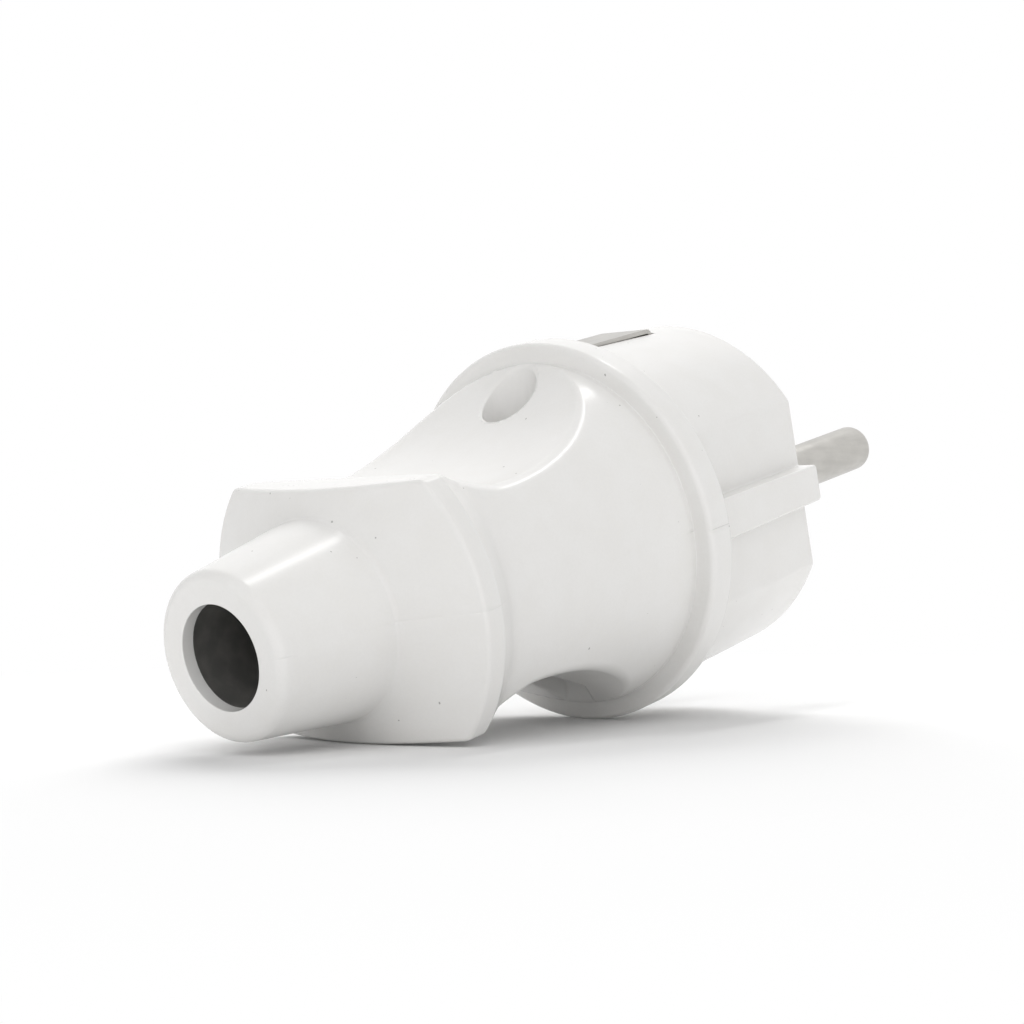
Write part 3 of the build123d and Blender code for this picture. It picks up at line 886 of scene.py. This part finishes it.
# %% Loft of the block, its neck and its foot
NECK_RADIUS = 14.0
FOOT_RADIUS = 15.2
FOOT_FLAT = 13.1
FOOT_FRONT = -21.15
FOOT_REAR = -23.55
sections = []
for y in np.linspace(-BLOCK_LENGTH, -FRONT_ROUND, DRAFT_SECTIONS):
    along = y + BLOCK_LENGTH
    sections.append((y, block_outline(BLOCK_DRAFT * along, KEY_DRAFT * along)))
for angle in np.linspace(0, math.pi / 2, ROUND_SECTIONS)[1:]:
    y = -FRONT_ROUND * (1 - math.sin(angle))
    along, drawn = y + BLOCK_LENGTH, FRONT_ROUND * (1 - math.cos(angle))
    sections.append((y, block_outline(BLOCK_DRAFT * along + drawn, KEY_DRAFT * along + drawn)))
ring_angle = np.arctan2(sections[0][1][:, 1], sections[0][1][:, 0])
for radius, flat, y in (
    (NECK_RADIUS, FAR, -BLOCK_LENGTH),
    (NECK_RADIUS, FAR, FOOT_FRONT),
    (FOOT_RADIUS, FOOT_FLAT, FOOT_FRONT),
    (FOOT_RADIUS, FOOT_FLAT, FOOT_REAR),
):
    x, z = radius * np.cos(ring_angle), np.clip(radius * np.sin(ring_angle), -flat, flat)
    sections.insert(0, (y, np.stack((x, z), 1)))
count = len(ring_angle)
points = np.concatenate([np.insert(line, 1, y, axis=1) for y, line in sections])
faces = grid_faces(len(sections), count, wrap_columns=True)
faces += [tuple(range(count)), tuple(range((len(sections) - 1) * count, len(sections) * count))]
carrier = mesh_object("contact_carrier_skin", points, faces, WHITE_BLOCK, BLOCK_CREASE)
print("block of", len(sections), "sections with", count, "points each")

# %% [markdown]
# The block's holes are cut from the loft: two for the pins, one for a socket's earth pin, two
# recesses for the clips, and behind the block the channel that the earth strip runs in. Their rims
# are sharp on the real block too, where metal fills them, so a Boolean is all that they need.


# %% Holes and recesses of the block
def rod(radius, start, end, x, z, steps=64):
    """A closed cylinder along the plug's axis, to cut with."""
    angles = np.linspace(0, 2 * math.pi, steps, endpoint=False)
    ring = np.stack((x + radius * np.cos(angles), z + radius * np.sin(angles)), 1)
    points, faces = prism(ring, start, end)
    return cutter(points[:, (0, 2, 1)], faces)


def brick(low, high):
    """A closed box, to cut with."""
    ring = np.array(((low[0], low[1]), (high[0], low[1]), (high[0], high[1]), (low[0], high[1])), float)
    return cutter(*prism(ring, low[2], high[2]))


# %% Cuts in the block
EARTH_HOLE_Z = 10.0
EARTH_HOLE = mounts["earth_pin_socket"]["dims"]
PIN_ROOT = 2.6
PIN_FIT = 0.05
BARREL_RADIUS = 3.2
BARREL_FRONT = -15.0
SLEEVE_SEAT = 3.15
SLEEVE_OVERLAP = 0.1
CHANNEL_HALF = 4.4
CHANNEL_FRONT = -18.1
RECESS_HALF = 3.35
RECESS_FLOOR = 15.9
RECESS_FRONT = -5.2
for x in (-PIN_PITCH / 2, PIN_PITCH / 2):
    cut_away(carrier, rod(PIN_ROOT + PIN_FIT, BARREL_FRONT - OVER, OVER, x, 0.0))
    cut_away(carrier, rod(BARREL_RADIUS + PIN_FIT, FOOT_REAR - OVER, BARREL_FRONT, x, 0.0))
cut_away(carrier, rod(EARTH_HOLE["r_mm"], -EARTH_HOLE["length_mm"], OVER, 0.0, EARTH_HOLE_Z))
sleeve_front = SLEEVE_OVERLAP - EARTH_HOLE["length_mm"]
cut_away(carrier, rod(SLEEVE_SEAT, CHANNEL_FRONT - OVER, sleeve_front, 0.0, EARTH_HOLE_Z))
cut_away(carrier, brick((-CHANNEL_HALF, FOOT_REAR - OVER, -FAR), (CHANNEL_HALF, CHANNEL_FRONT, FAR)))
for low, high in ((-FAR, -RECESS_FLOOR), (RECESS_FLOOR, FAR)):
    cut_away(carrier, brick((-RECESS_HALF, CHANNEL_FRONT - OVER, low), (RECESS_HALF, RECESS_FRONT, high)))
soft(carrier.data, BLOCK_CREASE)
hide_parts("contact_carrier")
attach(carrier, "root")
print("block triangles", triangles(carrier))

# %% [markdown]
# ## The pins
# Both pins are the same turned piece: a bar with a round tip, a slightly thicker root in the block
# and a barrel behind it that takes the wire. One outline, turned about its axis, gives the bar. A
# Screw modifier could turn it, and a second object could be the other pin. A Geometry Nodes tree
# does both at once, and its pitch stays an input that can be changed. It lays a grid, reads a point
# of the outline for each row, and swings it round by the angle of each column.


# %% Geometry Nodes that turn an outline and set copies of it
MEETING = 0.0005
TREE_INPUTS = {
    "Outline": "Geometry",
    "Rows": "Int",
    "Columns": "Int",
    "Pitch": "Float",
    "Material": "Material",
}


def turning_tree():
    """A tree that turns the outline (X is radius, Y is length) and sets two copies along X."""
    tree = bpy.data.node_groups.new("turned_pieces", "GeometryNodeTree")
    for name, kind in TREE_INPUTS.items():
        tree.interface.new_socket(name, in_out="INPUT", socket_type="NodeSocket" + kind)
    tree.interface.new_socket("Pieces", in_out="OUTPUT", socket_type="NodeSocketGeometry")
    nodes = Nodes(tree)
    given = {socket.name: Value(nodes, socket) for socket in tree.nodes.new("NodeGroupInput").outputs}
    sizes = {"Size X": 1.0, "Size Y": 1.0, "Vertices X": given["Rows"], "Vertices Y": given["Columns"]}
    grid = nodes.node("GeometryNodeMeshGrid", None, sizes)
    here = nodes.node("GeometryNodeInputPosition")
    row = (nodes.node("ShaderNodeSeparateXYZ", None, {0: here}, output=0) + 0.5) * (given["Rows"] - 1.0)
    row = nodes.node("FunctionNodeFloatToInt", {"rounding_mode": "ROUND"}, {0: row})
    angle = (nodes.node("ShaderNodeSeparateXYZ", None, {0: here}, output=1) + 0.5) * (2 * math.pi)
    read = {"Geometry": given["Outline"], "Value": here, "Index": row}
    point = nodes.node("GeometryNodeSampleIndex", {"data_type": "FLOAT_VECTOR", "domain": "POINT"}, read)
    radius = nodes.node("ShaderNodeSeparateXYZ", None, {0: point}, output=0)
    length = nodes.node("ShaderNodeSeparateXYZ", None, {0: point}, output=1)
    swung = {"X": radius * angle.math("COSINE"), "Y": length, "Z": radius * angle.math("SINE")}
    swung = nodes.node("ShaderNodeCombineXYZ", None, swung)
    turned = nodes.node("GeometryNodeSetPosition", None, {"Geometry": grid, "Position": swung})
    turned = nodes.node("GeometryNodeMergeByDistance", None, {"Geometry": turned, "Distance": MEETING})
    start = nodes.node("ShaderNodeCombineXYZ", None, {"X": given["Pitch"] * -0.5})
    offset = nodes.node("ShaderNodeCombineXYZ", None, {"X": given["Pitch"]})
    places = nodes.node("GeometryNodeMeshLine", None, {"Count": 2, "Start Location": start, "Offset": offset})
    copies = nodes.node("GeometryNodeInstanceOnPoints", None, {"Points": places, "Instance": turned})
    solid = nodes.node("GeometryNodeRealizeInstances", None, {"Geometry": copies})
    done = nodes.node("GeometryNodeSetMaterial", None, {"Geometry": solid, "Material": given["Material"]})
    tree.links.new(done.socket, tree.nodes.new("NodeGroupOutput").inputs[0])
    return tree


# %% Turned pieces
def turned_pieces(name, line, columns, pitch, material):
    """Copies of a turned outline, made by the tree and kept as a plain mesh in the row's frame."""
    mesh = bpy.data.meshes.new(name)
    chain = [(index, index + 1) for index in range(len(line) - 1)]
    mesh.from_pydata([(radius, y, 0.0) for radius, y in line], chain, [])
    piece = new_object(name, mesh)
    modifier = piece.modifiers.new("turn", "NODES")
    modifier.node_group = turning_tree()
    inputs = {"Rows": len(line), "Columns": columns, "Pitch": pitch, "Material": material}
    for socket in modifier.node_group.interface.items_tree:
        if socket.name in inputs:
            modifier[socket.identifier] = inputs[socket.name]
    applied(piece)
    piece.data.transform(PLUG_TO_ROW)
    tidy_mesh(piece.data)
    soft(piece.data, BLOCK_CREASE)
    return piece


# %% Pins
PIN_RADIUS = mounts["pin_left"]["dims"]["r_mm"]
PIN_LENGTH = 19.0
PIN_TIP_ROUND = 1.2
BARREL_REAR = -36.0
WIRE_HOLE = 1.7
WIRE_HOLE_DEPTH = 9.0
BARREL_ROUND = 0.4
ROOT_ROUND = 0.1
PIN_STEP = 1.5
PIN_COLUMNS = 97
pin_line = outline(
    (
        (0.0, BARREL_REAR + WIRE_HOLE_DEPTH, 0),
        (WIRE_HOLE, BARREL_REAR + WIRE_HOLE_DEPTH, 0),
        (WIRE_HOLE, BARREL_REAR, 0),
        (BARREL_RADIUS, BARREL_REAR, BARREL_ROUND),
        (BARREL_RADIUS, BARREL_FRONT, 0),
        (PIN_ROOT, BARREL_FRONT, 0),
        (PIN_ROOT, 0.0, ROOT_ROUND),
        (PIN_RADIUS, 0.0, 0),
        (PIN_RADIUS, PIN_LENGTH, PIN_TIP_ROUND),
        (0.0, PIN_LENGTH, 0),
    ),
    lambda point: PIN_STEP,
)
pins = turned_pieces("nickel_pins", pin_line, PIN_COLUMNS, PIN_PITCH, NICKEL)
print("pin triangles", triangles(pins))

# %% [markdown]
# Each barrel has a cross hole for its terminal screw. Then the pair takes the place of both pins.

# %% Cross holes of the pins
PIN_SCREW_Y = -34.0
PIN_SCREW_HOLE = 1.52
for x in (-PIN_PITCH / 2, PIN_PITCH / 2):
    points, faces = prism(PIN_SCREW_HOLE * RING_WAYS + (x, PIN_SCREW_Y), 0.0, OVER)
    cut_away(pins, cutter(points, faces, NICKEL))
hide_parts("pin_left", "pin_right")
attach(pins, "root")

# %% [markdown]
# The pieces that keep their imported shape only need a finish: the earth strip with its two clips,
# the screws and nuts that show at the bottom of their wells, and what the shells hide.

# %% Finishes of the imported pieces
REPLACED = ("upper_shell", "lower_shell", "contact_carrier", "pin_left", "pin_right")
# The cord clamp sits deep in the hollow, so it takes the painted shade of the hollow.
FINISHES = {"earth_strap": NICKEL, "earth_socket": BRASS, "earth_washer": BRASS, "cord_clamp": PAINTED_SHADE}
for node, piece in frame["nodes"].items():
    if node not in REPLACED:
        piece.data.materials.clear()
        piece.data.materials.append(FINISHES.get(node, STEEL))
print("finished", len(frame["nodes"]) - len(REPLACED), "packed pieces")

# %% [markdown]
# ## Stage
# A white sweep, as in a product photograph: the camera sees it as pure white, while the light that
# it sends back to the plug stays that of a plain pale floor. Near the plug the floor shows its
# shadow, with a little glow so that unshadowed paper is white. Further out it turns into plain
# white, and so there is no horizon. Metal has to show the same white, so mirror rays see it too.

# %% Floor
FLOOR_LEVEL = 0.92
FLOOR_SEEN = 0.85
FLOOR_GLOW = 0.02
WHITE_FROM = 0.07
WHITE_AT = 0.14
FLOOR_HALF = 3.0


def seen_rays(nodes):
    """1 for rays from the camera, from mirrors and through glass, 0 for the light that lights."""
    kinds = ("Camera", "Glossy", "Transmission")
    camera_ray, mirror_ray, glass_ray = (
        nodes.node("ShaderNodeLightPath", output=f"Is {kind} Ray") for kind in kinds
    )
    return (camera_ray + mirror_ray + glass_ray).math("MINIMUM", 1.0)


def floor_paper():
    paint = Paint("floor")
    centre = {0: paint.place(), 1: (0.0, 0.0, 0.0)}
    gap = paint.node("ShaderNodeVectorMath", {"operation": "DISTANCE"}, centre, output="Value")
    far = paint.ramp(gap, WHITE_FROM / MM, WHITE_AT / MM)
    lit = paint.node("ShaderNodeBsdfDiffuse", None, {"Color": grey(FLOOR_LEVEL)})
    shown = paint.node("ShaderNodeBsdfDiffuse", None, {"Color": grey(FLOOR_SEEN)})
    glow = paint.node("ShaderNodeEmission", None, {"Color": grey(1.0), "Strength": FLOOR_GLOW})
    shown = paint.node("ShaderNodeAddShader", None, {0: shown, 1: glow})
    white = paint.node("ShaderNodeEmission", None, {"Color": grey(1.0), "Strength": 1.0})
    shown = paint.node("ShaderNodeMixShader", None, {0: far, 1: shown, 2: white})
    both = paint.node("ShaderNodeMixShader", None, {0: seen_rays(paint), 1: lit, 2: shown})
    paint.tree.links.new(both.socket, paint.tree.nodes["Material Output"].inputs["Surface"])
    return paint.material


corners = [(-FLOOR_HALF, -FLOOR_HALF, 0), (FLOOR_HALF, -FLOOR_HALF, 0), (FLOOR_HALF, FLOOR_HALF, 0)]
floor_mesh = bpy.data.meshes.new("floor")
floor_mesh.from_pydata([*corners, (-FLOOR_HALF, FLOOR_HALF, 0)], [], [(0, 1, 2, 3)])
floor_mesh.materials.append(floor_paper())
floor = new_object("floor", floor_mesh)
floor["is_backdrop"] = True

# %% [markdown]
# A light tent gives even light from all round, and more of it from the side where the camera
# stands. A large soft lamp behind the plug throws its shadow forwards; it is kept out of mirrors,
# so that no wide sheen washes out the sides that are seen at a low angle. A narrow lamp overhead
# draws the bright band along the collar. A lamp's power follows from the share of light that it has
# to give to a surface that faces it.

# %% World
SKY_LIGHT = 0.28
FILL_LIGHT = 1.04
FILL_WAY = Vector((0.68, -0.70, 0.22)).normalized()
world = bpy.data.worlds.new("world")
bpy.context.scene.world = world
world.use_nodes = True
sky = Nodes(world.node_tree)
way = sky.node("ShaderNodeTexCoord", output="Generated")
facing = {0: way, 1: tuple(FILL_WAY)}
facing = sky.node("ShaderNodeVectorMath", {"operation": "DOT_PRODUCT"}, facing, output="Value")
light = SKY_LIGHT + FILL_LIGHT * facing.math("MAXIMUM", 0.0)
seen = sky.node("ShaderNodeBackground", None, {"Color": grey(1.0), "Strength": 1.0})
lit = sky.node("ShaderNodeBackground", None, {"Color": grey(1.0), "Strength": light})
both = sky.node("ShaderNodeMixShader", None, {0: seen_rays(sky), 1: lit, 2: seen})
sky.tree.links.new(both.socket, sky.tree.nodes["World Output"].inputs["Surface"])
print("light from", SKY_LIGHT, "all round up to", round(SKY_LIGHT + FILL_LIGHT, 2), "behind the camera")


# %% Lamps
def softbox(name, way, distance, size, share, in_mirrors=True):
    """A rectangular lamp that looks at the plug; way is where it stands, share what it gives."""
    lamp = bpy.data.lights.new(name, "AREA")
    lamp.shape = "RECTANGLE"
    lamp.size, lamp.size_y = size
    lamp.energy = share * (math.pi * distance) ** 2
    made = new_object(name, lamp)
    made.location = Vector(to_row([CAMERA_AIM])[0]) + Vector(way).normalized() * distance
    made.rotation_euler = Vector(way).to_track_quat("Z", "Y").to_euler()
    made.visible_glossy = in_mirrors
    print(name, "at", [round(value, 3) for value in made.location], "with", round(lamp.energy, 2), "W")


softbox("behind", way=(-0.50, 0.56, 0.64), distance=2.4, size=(1.7, 1.7), share=0.84, in_mirrors=False)
softbox("overhead", way=(-0.05, 0.28, 0.958), distance=0.8, size=(0.09, 0.46), share=0.15)
bpy.context.scene.view_settings.view_transform = "Standard"

seen_low, seen_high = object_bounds()
for name, low, high in (("dressed", seen_low, seen_high), ("packed", cad_low, cad_high)):
    print(name, "box", [round(b - a, 5) for a, b in zip(low, high)])
